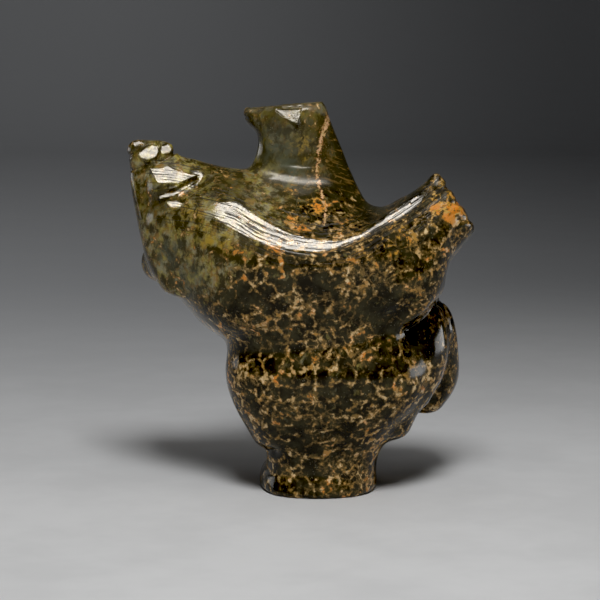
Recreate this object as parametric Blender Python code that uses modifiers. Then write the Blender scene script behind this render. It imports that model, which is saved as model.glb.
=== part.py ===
"""Soapstone carving of a dancing bear, seen from behind in the photograph. Metres, +Z up.

The bear stands on its left leg with its back to -Y. +X is the side of the raised right leg, and the head looks to
-X. The origin is in the middle of the standing foot, on the floor. The masses are laid out on a grid whose unit is a
share of the height, fused into one stone, carved, and cut flat below.
"""
import math

import bmesh
import bpy
import numpy as np
from mathutils import Matrix, Vector

# Driving dimensions, in metres
HEIGHT = 0.115
TOE_GROOVE_DEPTH = 0.0011
SHOULDER_NOTCH_DEPTH = 0.0030
SKIN_TRIANGLES = 9400

# The layout grid: so many units from the floor to the top of the head
GRID = 388.6
UNIT = HEIGHT / GRID

# The outline is laid out as it shows from behind, slightly from above
VIEW_TILT = math.radians(9)
VIEW_DISTANCE = 2600
VIEW_CENTRE = Vector((-18, 0, 193))
VIEW_LEVEL = 191
FORWARD = Vector((0, math.cos(VIEW_TILT), -math.sin(VIEW_TILT)))
UPWARD = Vector((0, math.sin(VIEW_TILT), math.cos(VIEW_TILT)))
EYE = VIEW_CENTRE - FORWARD * VIEW_DISTANCE

# Fineness of the fused stone, in grid units and rounds of smoothing
VOXEL = 2.6
SOFT_ROUNDS = 9

# A cut's walls curve in by this power, and reach points that turn away from the viewer by less than this much
CUT_CURVE = 1.5
CUT_REACH = 0.3

STONE_COLOUR = (0.045, 0.045, 0.025, 1)
STONE_ROUGHNESS = 0.2

# Heights of a rounded end's rings, as shares of its radius
DOME = (0.98, 0.92, 0.8, 0.62, 0.4, 0.2)
RING_SIDES = 36
PATH_STEPS = 5
CORNER_STEPS = 6

# Trunk and standing leg, level by level: up, left, right, back, front
TRUNK = (
    (-6, -52, 57, -49, 60),
    (15, -52, 58, -46, 56),
    (31, -51, 59, -44, 50),
    (41, -56, 62, -45, 49),
    (53, -65, 70, -50, 51),
    (67, -73, 81, -57, 54),
    (81, -81, 94, -63, 58),
    (96, -88, 106, -67, 62),
    (111, -92, 113, -69, 66),
    (126, -93, 114, -69, 69),
    (141, -91, 110, -67, 73),
    (156, -93, 104, -65, 78),
    (171, -100, 100, -66, 85),
    (186, -110, 106, -68, 89),
    (201, -116, 112, -70, 90),
    (216, -120, 116, -71, 87),
    (231, -120, 116, -70, 82),
    (243, -112, 108, -62, 74),
)
FOOT = (
    (33, -50, 55, -30, 62),
    (22, -57, 58, -43, 92),
    (9, -59, 59, -49, 103),
    (-6, -57, 59, -50, 105),
)
# Right flank, which folds over the raised thigh
FLANK = (
    (228, 40, 112, -46, 44),
    (214, 44, 125, -52, 46),
    (205, 50, 127, -54, 46),
    (195, 56, 123.5, -55, 44),
    (184, 60, 116, -53, 42),
    (175, 60, 106, -50, 38),
)
THIGH = (
    (192, 60, 120, -18, 52),
    (174, 56, 126.5, -26, 56),
    (161, 54, 129.5, -30, 58),
    (146, 50, 131, -33, 58),
    (132, 50, 129.5, -34, 57),
    (117, 48, 125.5, -34, 54),
    (102, 46, 119.5, -32, 50),
    (88, 44, 110, -29, 44),
    (79, 42, 101, -25, 38),
)
RAISED_FOOT = (
    (194, 88, 123, 24, 58),
    (183, 86, 131, 20, 68),
    (171, 84, 136, 20, 75),
    (156, 82, 139, 22, 82),
    (141, 80, 140.5, 25, 88),
    (117, 78, 141, 28, 92),
    (102, 80, 136, 30, 92),
    (87, 86, 126, 34, 88),
)
TAIL = (74, 73, -6)
TAIL_RADII = (22, 24, 23)
ELBOW = (-157, 229, 45)
ELBOW_RADII = (21, 25, 21)
FOREARM = (
    (206, -158, -103, -18, 58),
    (226, -170, -103, -14, 60),
    (251, -177, -113, -10, 55),
    (271, -181, -123, -4, 52),
    (291, -185, -133, 4, 50),
    (311, -188, -140, 10, 48),
    (326, -190, -144, 14, 46),
    (341, -192, -147, 14, 46),
    (349, -190, -150, 18, 42),
)
NECK = (
    (255, -78, 66, -20, 66),
    (276, -76, 56, -10, 71),
    (292, -74, 47, 0, 72),
    (302, -72, 41, 5, 71),
    (311, -70, 37, 8, 70),
    (320, -68, 33, 11, 69),
    (329, -65.5, 29, 13, 68),
    (341, -61, 25, 14, 66),
    (352, -60, 20, 12, 66),
    (362, -61, 16, 11, 67),
    (372, -56, 12, 11, 66),
    (381, -48, 8, 14, 62),
)
# Head, from its back to the snout: across, top, bottom, back, front
HEAD = (
    (3, 396, 341, 18, 60),
    (-10, 396, 343, 12, 66),
    (-26, 396, 346, 11, 69),
    (-42, 396, 350, 13, 67),
    (-54, 394, 355, 19, 61),
    (-63, 392, 361, 24, 56),
    (-71, 389, 367, 28, 52),
)
HEAD_TOP = ((-3, 390.5, 66), (-0.094, 0.03, 1))
EAR = (-29, 370)
EAR_DEPTHS = (14, 65)
EAR_RADII = (15, 6, 10)
NOSE = (-65, 377, 40)
NOSE_RADII = (9.5, 13, 8.5)
# Shoulders and arms from the left paw to the right: across, then eight corners of the section as (up, deep), from the
# top over the shelf and the ridge, down the back, and up the chest
SHOULDERS = (
    (-168, (331, 25), (319, 5), (305, -2), (281, -8), (251, 2), (247, 40), (286, 52), (319, 44)),
    (-148, (340, 27), (311, -5), (291, -16), (256, -22), (216, -8), (209, 45), (266, 60), (319, 50)),
    (-128, (334, 28), (300, -14), (285, -31), (246, -38), (191, -20), (186, 48), (254, 66), (312, 56)),
    (-113, (329, 30), (295, -22), (279, -42), (236, -50), (176, -30), (171, 50), (246, 70), (306, 60)),
    (-86, (323, 30), (288, -36), (263, -58), (216, -64), (158, -45), (156, 55), (231, 76), (301, 66)),
    (-56, (322, 30), (270, -48), (248, -68), (201, -70), (156, -50), (156, 60), (211, 82), (291, 70)),
    (-18, (320, 30), (253, -58), (239, -75), (196, -74), (156, -50), (156, 60), (201, 84), (281, 72)),
    (12, (317, 30), (248, -58), (235, -76), (196, -74), (156, -50), (156, 60), (201, 84), (276, 72)),
    (47, (287, 30), (259, -50), (246, -70), (201, -70), (166, -50), (166, 60), (206, 80), (266, 64)),
    (82, (293, 10), (278, -40), (267, -56), (223, -63), (182, -52), (184, 50), (221, 66), (271, 46)),
    (107, (309, -2), (294, -30), (281, -42), (242, -56), (188, -48), (190, 40), (232, 50), (286, 32)),
    (122, (321, -6), (305, -28), (293, -38), (256, -50), (200, -40), (200, 26), (250, 34), (301, 22)),
    (131, (327, -7), (311, -27), (299.5, -36), (266, -46), (232, -36), (231, 18), (264, 26), (308, 18)),
    (140, (333, -8), (317, -26), (306, -34), (279, -40), (244, -30), (243, 14), (276, 20), (316, 14)),
    (162, (347, -10), (331, -24), (321, -30), (301, -34), (270, -26), (269, 8), (296, 14), (333, 8)),
)
RIGHT_PAW_CORNERS = ((120, 319, -10), (157, 264, -10))

# Cuts that show from behind, each a line of (across, up) with its half width in grid units
LEFT_TOE_CUTS = (
    ((-167, 353), (-176, 344), (-193, 332)),
    ((-160, 350), (-159, 343), (-157, 335)),
    ((-190, 323), (-172, 322), (-158, 329), (-144, 336)),
)
RIGHT_TOE_CUTS = (
    ((128, 314), (118, 307)),
    ((138, 300), (127, 293)),
    ((148, 282), (137, 276)),
)
TOE_CUT_WIDTH = 5.5
FOOT_TOE_DEEPENING = 1.5
SHOULDER_NOTCH = ((-162, 288), (-150, 295), (-135, 301), (-120, 311))
SHOULDER_NOTCH_WIDTH = 13
FLANK_FOLD = ((124, 191), (116, 184), (110, 176), (102, 168), (90, 160))
FLANK_FOLD_WIDTH = 9
FLANK_FOLD_DEPTH = 4

# Cuts in front, each a line of (across, up) as it lies
FRONT_FOLDS = (
    ((64, 205), (54, 160), (44, 125), (30, 95)),
    ((-98, 172), (-60, 140), (-15, 126), (40, 122)),
    ((-78, 305), (-86, 262), (-84, 215)),
    ((66, 290), (74, 250), (70, 215)),
    ((-144, 338), (-136, 292), (-120, 254)),
)
FRONT_FOLD_WIDTH = 13
FRONT_FOLD_DEPTH = 3.5
FRONT_TOE_CUTS = (
    ((-183, 362), (-179, 328)),
    ((-170, 362), (-166, 328)),
    ((104, 74), (106, 106)),
    ((116, 74), (118, 108)),
    ((128, 76), (130, 108)),
)
# Cuts between the toes of the standing foot, each a line of (across, deep) from above
FOOT_TOE_CUTS = tuple(((across, 72), (across * 1.08, 112)) for across in (-30, 0, 30))
FOOT_TOE_WIDTH = 8


def seen(across, up, deep):
    """Returns the point, in grid units, that shows at across and up from behind and lies deep units forward."""
    ray = FORWARD * VIEW_DISTANCE + Vector((across - VIEW_CENTRE.x, 0, 0)) + UPWARD * (up - VIEW_LEVEL)
    return EYE + ray * ((deep - EYE.y) / ray.y)


def curve_spans(guides, steps):
    """Returns points on the Catmull-Rom curve through all guides but the first and last, steps to a span."""
    points = []
    for a, b, c, d in zip(guides, guides[1:], guides[2:], guides[3:]):
        for t in np.arange(steps) / steps:
            bend = (2 * a - 5 * b + 4 * c - d) * t ** 2 + (3 * b - a - 3 * c + d) * t ** 3
            points.append((2 * b + (c - a) * t + bend) / 2)
    return points


def smooth_rows(rows):
    """Returns the rows with smooth ones between them."""
    rows = [np.array(row, float) for row in rows]
    guides = [2 * rows[0] - rows[1], *rows, 2 * rows[-1] - rows[-2]]
    return [*curve_spans(guides, PATH_STEPS), rows[-1]]


def skin(bm, rings):
    """Joins rings of points into one closed mass and returns its vertices."""
    loops = [[bm.verts.new(point) for point in ring] for ring in rings]
    for low, high in zip(loops, loops[1:]):
        for k in range(len(low)):
            after = (k + 1) % len(low)
            bm.faces.new((low[k], low[after], high[after], high[k]))
    ends = [bm.faces.new(loops[0]), bm.faces.new(loops[-1])]
    verts = [vert for loop in loops for vert in loop]
    faces = {face for vert in verts for face in vert.link_faces} | set(ends)
    bmesh.ops.recalc_face_normals(bm, faces=list(faces))
    return verts


def stacked_rings(rows, square, caps, place):
    """Returns the rings of a mass whose sections are rounded boxes, with a dome at each end.

    Each row is a level and the low and high of two widths. place turns level, first and second width into a point.
    """
    path = smooth_rows(rows)
    way = 1 if rows[-1][0] > rows[0][0] else -1
    ladder = []
    for row, cap, side in ((path[0], caps[0], -way), (path[-1], caps[1], way)):
        reach = min(row[2] - row[1], row[4] - row[3]) / 2 * cap
        ladder.append([(row, math.sqrt(1 - s * s), side * reach * s) for s in DOME])
    rings = []
    for row, scale, shift in (*ladder[0], *((row, 1, 0) for row in path), *reversed(ladder[1])):
        mid = (row[1] + row[2]) / 2, (row[3] + row[4]) / 2
        half = (row[2] - row[1]) / 2 * scale, (row[4] - row[3]) / 2 * scale
        ring = []
        for k in range(RING_SIDES):
            turn = 2 * math.pi * k / RING_SIDES
            u, v = (math.copysign(abs(f) ** (2 / square), f) for f in (math.cos(turn), math.sin(turn)))
            ring.append(place(row[0] + shift, mid[0] + half[0] * u, mid[1] + half[1] * v))
        rings.append(ring)
    return rings


def add_upright(bm, rows, square=2.35, caps=(0.4, 0.4)):
    """Adds a mass of level sections, with rows of up, left, right, back and front."""
    placed = []
    for up, left, right, back, front in rows:
        middle = (back + front) / 2
        placed.append((seen(left, up, middle).z, seen(left, up, middle).x, seen(right, up, middle).x, back, front))
    return skin(bm, stacked_rings(placed, square, caps, lambda level, x, y: (x, y, level)))


def add_sideways(bm, rows, square=2.5, caps=(0.3, 0.3)):
    """Adds a mass of upright sections, with rows of across, top, bottom, back and front."""
    placed = []
    for across, top, bottom, back, front in rows:
        middle = (back + front) / 2
        low, high = seen(across, bottom, middle), seen(across, top, middle)
        placed.append((high.x, low.z, high.z, back, front))
    return skin(bm, stacked_rings(placed, square, caps, lambda level, z, y: (level, y, z)))


def add_cornered(bm, rows):
    """Adds a mass of upright sections that are given corner by corner and rounded through their corners."""
    placed = [[c for up, deep in corners for c in seen(across, up, deep)] for across, *corners in rows]
    rings = []
    for row in smooth_rows(placed):
        corners = [row[k:k + 3] for k in range(0, len(row), 3)]
        rings.append(curve_spans([corners[-1], *corners, *corners[:2]], CORNER_STEPS))
    return skin(bm, rings)


def add_lump(bm, centre, radii):
    """Adds an egg-shaped mass centred where seen says."""
    matrix = Matrix.Translation(seen(*centre)) @ Matrix.Diagonal((*radii, 1))
    bmesh.ops.create_icosphere(bm, subdivisions=4, radius=1, matrix=matrix)


def slice_off(bm, verts, point, normal):
    """Cuts away what lies past a plane and closes the cut."""
    edges = {edge for vert in verts for edge in vert.link_edges}
    faces = {face for vert in verts for face in vert.link_faces}
    cut = bmesh.ops.bisect_plane(bm, geom=[*verts, *edges, *faces], plane_co=point,
                                 plane_no=normal.normalized(), clear_outer=True)
    rim = [item for item in cut["geom_cut"] if isinstance(item, bmesh.types.BMEdge)]
    bmesh.ops.holes_fill(bm, edges=rim)


def add_masses(bm):
    """Adds the overlapping masses of the bear, in grid units."""
    add_upright(bm, TRUNK, caps=(0.1, 0.4))
    add_upright(bm, FOOT, square=2.6, caps=(0.3, 0.1))
    add_upright(bm, FLANK)
    add_upright(bm, THIGH)
    add_upright(bm, RAISED_FOOT)
    add_lump(bm, TAIL, TAIL_RADII)
    add_upright(bm, FOREARM, caps=(0.4, 0.35))
    add_lump(bm, ELBOW, ELBOW_RADII)
    arms = add_cornered(bm, SHOULDERS)
    top, tip = (seen(*corner) for corner in RIGHT_PAW_CORNERS)
    slice_off(bm, arms, top, (tip - top).cross(Vector((0, 1, 0))))
    add_upright(bm, NECK, caps=(0.3, 0.2))
    head = add_sideways(bm, HEAD)
    slice_off(bm, head, seen(*HEAD_TOP[0]), Vector(HEAD_TOP[1]))
    for deep in EAR_DEPTHS:
        add_lump(bm, (*EAR, deep), EAR_RADII)
    add_lump(bm, NOSE, NOSE_RADII)


def new_object(name, mesh, collection):
    """Links a new object for mesh."""
    made = bpy.data.objects.new(name, mesh)
    collection.objects.link(made)
    return made


def baked(source):
    """Returns a mesh of source as its modifiers leave it, and removes source."""
    depsgraph = bpy.context.evaluated_depsgraph_get()
    mesh = bpy.data.meshes.new_from_object(source.evaluated_get(depsgraph))
    bpy.data.objects.remove(source)
    return mesh


def fused_stone(collection):
    """Returns the masses fused into one skin of small, even faces, in metres."""
    bm = bmesh.new()
    add_masses(bm)
    mesh = bpy.data.meshes.new("masses")
    bm.to_mesh(mesh)
    bm.free()
    mesh.transform(Matrix.Scale(UNIT, 4))
    rough = new_object("masses", mesh, collection)
    fuse = rough.modifiers.new("fuse", "REMESH")
    fuse.mode = "VOXEL"
    fuse.voxel_size = VOXEL * UNIT
    soften = rough.modifiers.new("soften", "SMOOTH")
    soften.iterations = round(SOFT_ROUNDS)
    return baked(rough)


def shown(points):
    """Returns where points, in grid units, show from behind, as rows of across and up."""
    rays = points - np.array(EYE)
    away = rays @ np.array(FORWARD) / VIEW_DISTANCE
    return np.stack((rays[:, 0] / away + VIEW_CENTRE.x, rays @ np.array(UPWARD) / away + VIEW_LEVEL), axis=1)


def cut_along(points, inward, flat, line, width, depth, where):
    """Sinks the points near a line into the stone, deepest on the line.

    flat holds the points as the line's drawing shows them, inward their way into the stone and where the ones to cut.
    """
    nearest = np.full(len(points), np.inf)
    for start, end in zip(np.array(line, float), np.array(line, float)[1:]):
        along = end - start
        share = np.clip((flat - start) @ along / (along @ along), 0, 1)
        nearest = np.minimum(nearest, np.linalg.norm(flat - start - share[:, None] * along, axis=1))
    fall = np.clip(1 - nearest / width, 0, 1) ** CUT_CURVE * where
    points += inward * (depth * fall)[:, None]


def carve(stone):
    """Cuts the toes, the notch in the left shoulder and the folds into the fused stone."""
    points = np.empty(len(stone.vertices) * 3, np.float32)
    stone.vertices.foreach_get("co", points)
    points = points.reshape(-1, 3).astype(float) / UNIT
    inward = np.empty(len(stone.vertices) * 3, np.float32)
    stone.vertex_normals.foreach_get("vector", inward)
    inward = -inward.reshape(-1, 3).astype(float)
    back = inward[:, 1] > -CUT_REACH
    front = inward[:, 1] < CUT_REACH
    from_behind, as_lies, from_above = shown(points), points[:, ::2], points[:, :2]
    toe_depth = TOE_GROOVE_DEPTH / UNIT
    for line in LEFT_TOE_CUTS + RIGHT_TOE_CUTS:
        cut_along(points, inward, from_behind, line, TOE_CUT_WIDTH, toe_depth, back)
    cut_along(points, inward, from_behind, SHOULDER_NOTCH, SHOULDER_NOTCH_WIDTH, SHOULDER_NOTCH_DEPTH / UNIT, back)
    cut_along(points, inward, from_behind, FLANK_FOLD, FLANK_FOLD_WIDTH, FLANK_FOLD_DEPTH, back)
    for line in FRONT_FOLDS:
        cut_along(points, inward, as_lies, line, FRONT_FOLD_WIDTH, FRONT_FOLD_DEPTH, front)
    for line in FRONT_TOE_CUTS:
        cut_along(points, inward, as_lies, line, TOE_CUT_WIDTH, toe_depth, front)
    low = points[:, 2] < FOOT[0][0]
    for line in FOOT_TOE_CUTS:
        cut_along(points, inward, from_above, line, FOOT_TOE_WIDTH, toe_depth * FOOT_TOE_DEEPENING, low)
    stone.vertices.foreach_set("co", (points * UNIT).astype(np.float32).ravel())
    stone.update()


def floor_cutter(collection):
    """Returns a block whose top is the floor and which is wider and deeper than the carving."""
    block = bpy.data.meshes.new("floor")
    bm = bmesh.new()
    size = Matrix.Diagonal((2 * HEIGHT, 2 * HEIGHT, HEIGHT, 1))
    bmesh.ops.create_cube(bm, size=1, matrix=Matrix.Translation((0, 0, -HEIGHT / 2)) @ size)
    bm.to_mesh(block)
    bm.free()
    cutter = new_object("floor", block, collection)
    cutter.hide_render = True
    cutter.display_type = "WIRE"
    return cutter


def polished_stone():
    """Returns the material of polished dark green stone."""
    material = bpy.data.materials.new("polished_stone")
    material.use_nodes = True
    shader = material.node_tree.nodes["Principled BSDF"]
    shader.inputs["Base Color"].default_value = STONE_COLOUR
    shader.inputs["Roughness"].default_value = STONE_ROUGHNESS
    shader.inputs["Metallic"].default_value = 0
    return material


def main():
    """Makes the bear."""
    for leftover in list(bpy.data.objects):
        bpy.data.objects.remove(leftover)
    carving = bpy.data.collections.new("soapstone_bear")
    cutters = bpy.data.collections.new("cutters")
    for collection in (carving, cutters):
        bpy.context.scene.collection.children.link(collection)
    stone = fused_stone(carving)
    carve(stone)
    bear = new_object("bear", stone, carving)
    stone.materials.append(polished_stone())
    thin = bear.modifiers.new("thin", "DECIMATE")
    thin.ratio = SKIN_TRIANGLES / sum(len(face.vertices) - 2 for face in stone.polygons)
    flat = bear.modifiers.new("flat underside", "BOOLEAN")
    flat.object = floor_cutter(cutters)


if __name__ == "__main__":
    main()
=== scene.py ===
"""The looks of the soapstone carving of a dancing bear, seen from behind.

One class holds each part of the work: the drawing grid, the tools that carve the stone, the layers of its
colour and polish, the carving itself and the studio. Metres, +Z up, with the bear's back to -Y.
"""
from __future__ import annotations

import logging
import math
from dataclasses import dataclass, field
from enum import Enum

import bmesh
import bpy
import numpy as np
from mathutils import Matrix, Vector

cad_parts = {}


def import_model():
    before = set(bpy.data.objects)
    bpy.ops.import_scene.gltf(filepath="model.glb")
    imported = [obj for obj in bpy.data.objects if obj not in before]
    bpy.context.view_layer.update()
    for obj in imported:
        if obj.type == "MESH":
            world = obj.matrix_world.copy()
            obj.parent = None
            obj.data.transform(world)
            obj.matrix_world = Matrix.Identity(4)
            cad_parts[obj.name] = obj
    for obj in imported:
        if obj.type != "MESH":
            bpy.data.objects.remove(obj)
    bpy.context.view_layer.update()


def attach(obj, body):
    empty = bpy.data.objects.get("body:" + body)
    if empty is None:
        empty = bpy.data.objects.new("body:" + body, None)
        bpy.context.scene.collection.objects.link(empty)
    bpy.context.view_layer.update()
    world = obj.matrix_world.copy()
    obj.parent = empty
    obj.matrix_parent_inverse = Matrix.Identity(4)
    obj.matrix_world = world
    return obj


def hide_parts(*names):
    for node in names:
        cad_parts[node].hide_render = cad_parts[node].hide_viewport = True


Colour = tuple[float, float, float]
Place = tuple[float, float]
Triple = tuple[float, float, float]
Socket = bpy.types.NodeSocket
Value = Socket | float

log = logging.getLogger("soapstone_bear")

MILLIMETRE = 0.001
NOISE_MIDDLE = 0.5
WARM: Colour = (1.0, 0.94, 0.86)


def linked(name: str, data: bpy.types.ID) -> bpy.types.Object:
    """Adds an object that holds data to the scene."""
    thing = bpy.data.objects.new(name, data)
    bpy.context.scene.collection.objects.link(thing)
    return thing


@dataclass(frozen=True)
class DrawingGrid:
    """The grid on which the bear is drawn as it shows from behind, slightly from above.

    A place on the drawing is so many units across and up, and the third measure is how deep it lies. The
    drawing is as wide as the picture.
    """

    height: float = 0.115
    units: float = 388.6
    tilt: float = math.radians(9)
    distance: float = 2600
    centre: Triple = (-18, 0, 193)
    level: float = 191
    width: float = 600

    @property
    def unit(self) -> float:
        """One unit in metres."""
        return self.height / self.units

    @property
    def forward(self) -> np.ndarray:
        """The way in which the viewer looks."""
        return np.array((0, math.cos(self.tilt), -math.sin(self.tilt)))

    @property
    def upward(self) -> np.ndarray:
        """The viewer's up."""
        return np.array((0, math.sin(self.tilt), math.cos(self.tilt)))

    @property
    def eye(self) -> np.ndarray:
        """Where the viewer stands, in units."""
        return np.array(self.centre) - self.forward * self.distance

    def shown(self, points: np.ndarray) -> np.ndarray:
        """Draws points as they show from behind.

        Args:
            points: Rows of x, y and z, in units.

        Returns:
            Rows of across and up, in units.
        """
        rays = points - self.eye
        away = rays @ self.forward / self.distance
        return np.stack((rays[:, 0] / away + self.centre[0], rays @ self.upward / away + self.level), axis=1)


@dataclass(frozen=True)
class Stroke:
    """A line of places on a drawing."""

    places: tuple[Place, ...]

    def measure(self, flat: np.ndarray) -> tuple[np.ndarray, np.ndarray, np.ndarray]:
        """Measures drawn points against the stroke.

        Args:
            flat: Rows of places on the drawing.

        Returns:
            Each point's distance to the stroke, the length of the stroke up to there, and its side, 1 or -1.
        """
        line = np.array(self.places, float)
        nearest = np.full(len(flat), np.inf)
        along = np.zeros(len(flat))
        side = np.ones(len(flat))
        passed = 0.0
        for start, end in zip(line, line[1:]):
            step = end - start
            length = float(np.linalg.norm(step))
            share = np.clip((flat - start) @ step / length ** 2, 0, 1)
            gap = flat - start - share[:, None] * step
            distance = np.linalg.norm(gap, axis=1)
            closer = distance < nearest
            nearest = np.where(closer, distance, nearest)
            along = np.where(closer, passed + share * length, along)
            side = np.where(closer, np.sign(step[0] * gap[:, 1] - step[1] * gap[:, 0]), side)
            passed += length
        return nearest, along, side

    def lengths(self) -> np.ndarray:
        """Gives the length of the stroke up to each of its places."""
        steps = np.diff(np.array(self.places, float), axis=0)
        return np.concatenate(((0.0,), np.cumsum(np.linalg.norm(steps, axis=1))))


class Drawing(Enum):
    """The side from which a cut is drawn."""

    BEHIND = "as it shows from behind"
    SNOUT = "deep and up, on the snout"


@dataclass(frozen=True)
class Cut:
    """A groove along a stroke, with its half width and depth in units. A depth below 0 makes a swell."""

    stroke: Stroke
    width: float
    depth: float
    drawing: Drawing = Drawing.BEHIND
    curve: float = 1.5


def way_out(elevation: float, turn: float = 0) -> np.ndarray:
    """Gives a direction out of the stone.

    Args:
        elevation: Degrees above level.
        turn: Degrees from the viewer towards the bear's right side.

    Returns:
        The direction, one unit long.
    """
    rise, round_z = math.radians(elevation), math.radians(turn)
    return np.array((math.cos(rise) * math.sin(round_z), -math.cos(rise) * math.cos(round_z), math.sin(rise)))


@dataclass(frozen=True)
class Region:
    """Places on the drawing around which a colour, a finish or some work gathers, each with its reach."""

    name: str
    spots: tuple[Triple, ...]

    def strength(self, flat: np.ndarray) -> np.ndarray:
        """Works out how strong the region is.

        Args:
            flat: Rows of across and up.

        Returns:
            1 at the middle of a spot, falling to 0 at its reach.
        """
        best = np.zeros(len(flat))
        for across, up, reach in self.spots:
            share = np.clip(1 - np.hypot(flat[:, 0] - across, flat[:, 1] - up) / reach, 0, 1)
            best = np.maximum(best, share * share * (3 - 2 * share))
        return best


@dataclass(frozen=True)
class Facet:
    """A flat that a file leaves: its outline seen from behind and its way out of the stone."""

    outline: tuple[Place, ...]
    elevation: float
    turn: float = 0

    def inside(self, flat: np.ndarray, soft: float) -> np.ndarray:
        """Tells how far inside the outline drawn points lie.

        Args:
            flat: Rows of across and up.
            soft: The width in units over which the rim fades.

        Returns:
            1 well inside, falling to 0 at the outline.
        """
        line = np.array(self.outline, float)
        odd = np.zeros(len(flat), bool)
        for start, end in zip(line, np.roll(line, -1, axis=0)):
            spans = (start[1] > flat[:, 1]) != (end[1] > flat[:, 1])
            rise = np.where(spans, end[1] - start[1], 1.0)
            crossing = start[0] + (flat[:, 1] - start[1]) / rise * (end[0] - start[0])
            odd ^= spans & (flat[:, 0] < crossing)
        rim = Stroke((*self.outline, self.outline[0])).measure(flat)[0]
        return np.where(odd, np.clip(rim / soft, 0, 1), 0)


@dataclass(frozen=True)
class Bevel:
    """A filed band along a ridge: its middle seen from behind, its half width at each place and its slope."""

    stroke: Stroke
    half_widths: tuple[float, ...]
    elevation: float
    step: float = 5


@dataclass
class Carver:
    """Moves the points of a mesh as files and gouges move a stone's surface."""

    mesh: bpy.types.Mesh
    grid: DrawingGrid
    points: np.ndarray = field(init=False)
    inward: np.ndarray = field(init=False)
    reach_round: float = 0.3
    snout_end: float = -58
    facet_rim: float = 0.8
    bevel_rim: float = 2.5
    level_rounds: int = 3
    level_weights: Triple = (0.25, 0.5, 0.25)

    def __post_init__(self) -> None:
        """Reads the mesh."""
        self.points = self.read("vertices", "co", 3) / self.grid.unit
        self.look()

    def read(self, items: str, name: str, width: int) -> np.ndarray:
        """Reads one value of all the mesh's items.

        Args:
            items: The mesh's collection, such as vertices.
            name: The value's name.
            width: How many numbers each value has.

        Returns:
            One row for each item.
        """
        store = getattr(self.mesh, items)
        values = np.empty(len(store) * width, np.float32)
        store.foreach_get(name, values)
        return values.reshape(-1, width).astype(float)

    def look(self) -> None:
        """Puts the points into the mesh and takes the ways into the stone from it."""
        self.mesh.vertices.foreach_set("co", (self.points * self.grid.unit).astype(np.float32).ravel())
        self.mesh.update()
        self.inward = -self.read("vertex_normals", "vector", 3)

    def edge_ends(self) -> tuple[np.ndarray, np.ndarray]:
        """Reads which point lies at the first and which at the second end of each edge."""
        ends = np.empty(len(self.mesh.edges) * 2, np.int32)
        self.mesh.edges.foreach_get("vertices", ends)
        return ends[::2], ends[1::2]

    @staticmethod
    def middles(values: np.ndarray, low: np.ndarray, high: np.ndarray) -> np.ndarray:
        """Works out the middle between each point's neighbours.

        Args:
            values: One row for each point.
            low: The point at the first end of each edge that counts.
            high: The point at its second end.

        Returns:
            One row for each point.
        """
        count = len(values)
        met = np.maximum(np.bincount(low, minlength=count) + np.bincount(high, minlength=count), 1)
        total = np.stack([
            np.bincount(low, values[high, axis], count) + np.bincount(high, values[low, axis], count)
            for axis in range(3)
        ], axis=1)
        return total / met[:, None]

    def relax(self, rounds: int) -> None:
        """Evens out facets and keeps the larger forms full.

        Args:
            rounds: How often each point moves halfway to the middle of its neighbours.
        """
        low, high = self.edge_ends()

        def softened(values: np.ndarray) -> np.ndarray:
            """Returns values after the rounds."""
            for _ in range(rounds):
                values = (values + self.middles(values, low, high)) / 2
            return values

        sunk = self.points - softened(self.points)
        self.points += softened(sunk) - sunk
        self.points[:, 2] = np.maximum(self.points[:, 2], 0)
        self.look()

    def soften(self, region: Region, rounds: int) -> None:
        """Rounds off hollow and sharp corners on the side that shows.

        Args:
            region: Where they lie.
            rounds: How often each point there moves halfway to the middle of its neighbours.
        """
        flat, facing = self.drawn(Drawing.BEHIND)
        share = region.strength(flat) * facing
        low, high = self.edge_ends()
        near = (share[low] > 0) | (share[high] > 0)
        low, high = low[near], high[near]
        for _ in range(rounds):
            self.points += (self.middles(self.points, low, high) - self.points) * (share / 2)[:, None]
        self.look()

    def drawn(self, drawing: Drawing) -> tuple[np.ndarray, np.ndarray]:
        """Draws the points from one side.

        Args:
            drawing: The side.

        Returns:
            Their places on the drawing, and which of them face that side.
        """
        if drawing is Drawing.BEHIND:
            return self.grid.shown(self.points), self.inward[:, 1] > -self.reach_round
        at_snout = (self.points[:, 0] < self.snout_end) & (self.inward[:, 0] > self.reach_round)
        return self.points[:, 1:], at_snout

    def cut(self, cut: Cut) -> None:
        """Sinks the points along a cut."""
        flat, facing = self.drawn(cut.drawing)
        nearest = cut.stroke.measure(flat)[0]
        fall = np.clip(1 - nearest / cut.width, 0, 1) ** cut.curve * facing
        self.points += self.inward * (cut.depth * fall)[:, None]

    def file(self, facet: Facet) -> None:
        """Files one flat facet."""
        flat, facing = self.drawn(Drawing.BEHIND)
        window = facet.inside(flat, self.facet_rim) * facing
        normal = way_out(facet.elevation, facet.turn)
        heights = self.points @ normal
        level = np.average(heights, weights=window)
        self.points += np.outer((level - heights) * window, normal)

    def bevel(self, bevel: Bevel) -> None:
        """Files a band along a ridge, which rises and falls with the ridge."""
        flat, facing = self.drawn(Drawing.BEHIND)
        apart, along, _ = bevel.stroke.measure(flat)
        stops = bevel.stroke.lengths()
        half = np.interp(along, stops, bevel.half_widths)
        normal = way_out(bevel.elevation)
        heights = self.points @ normal
        band = facing & (apart < half)
        bins = (along / bevel.step).astype(int)
        count = int(stops[-1] / bevel.step) + 1
        filled = np.bincount(bins[band], minlength=count)
        level = np.bincount(bins[band], heights[band], count) / np.maximum(filled, 1)
        middles = (np.flatnonzero(filled) + 0.5) * bevel.step
        level = level[filled > 0]
        for _ in range(self.level_rounds):
            level = np.convolve(np.pad(level, 1, mode="edge"), self.level_weights, mode="valid")
        window = np.clip((half - apart) / self.bevel_rim, 0, 1) * band
        goal = np.interp(along, middles, level)
        self.points += np.outer((goal - heights) * window, normal)


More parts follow.
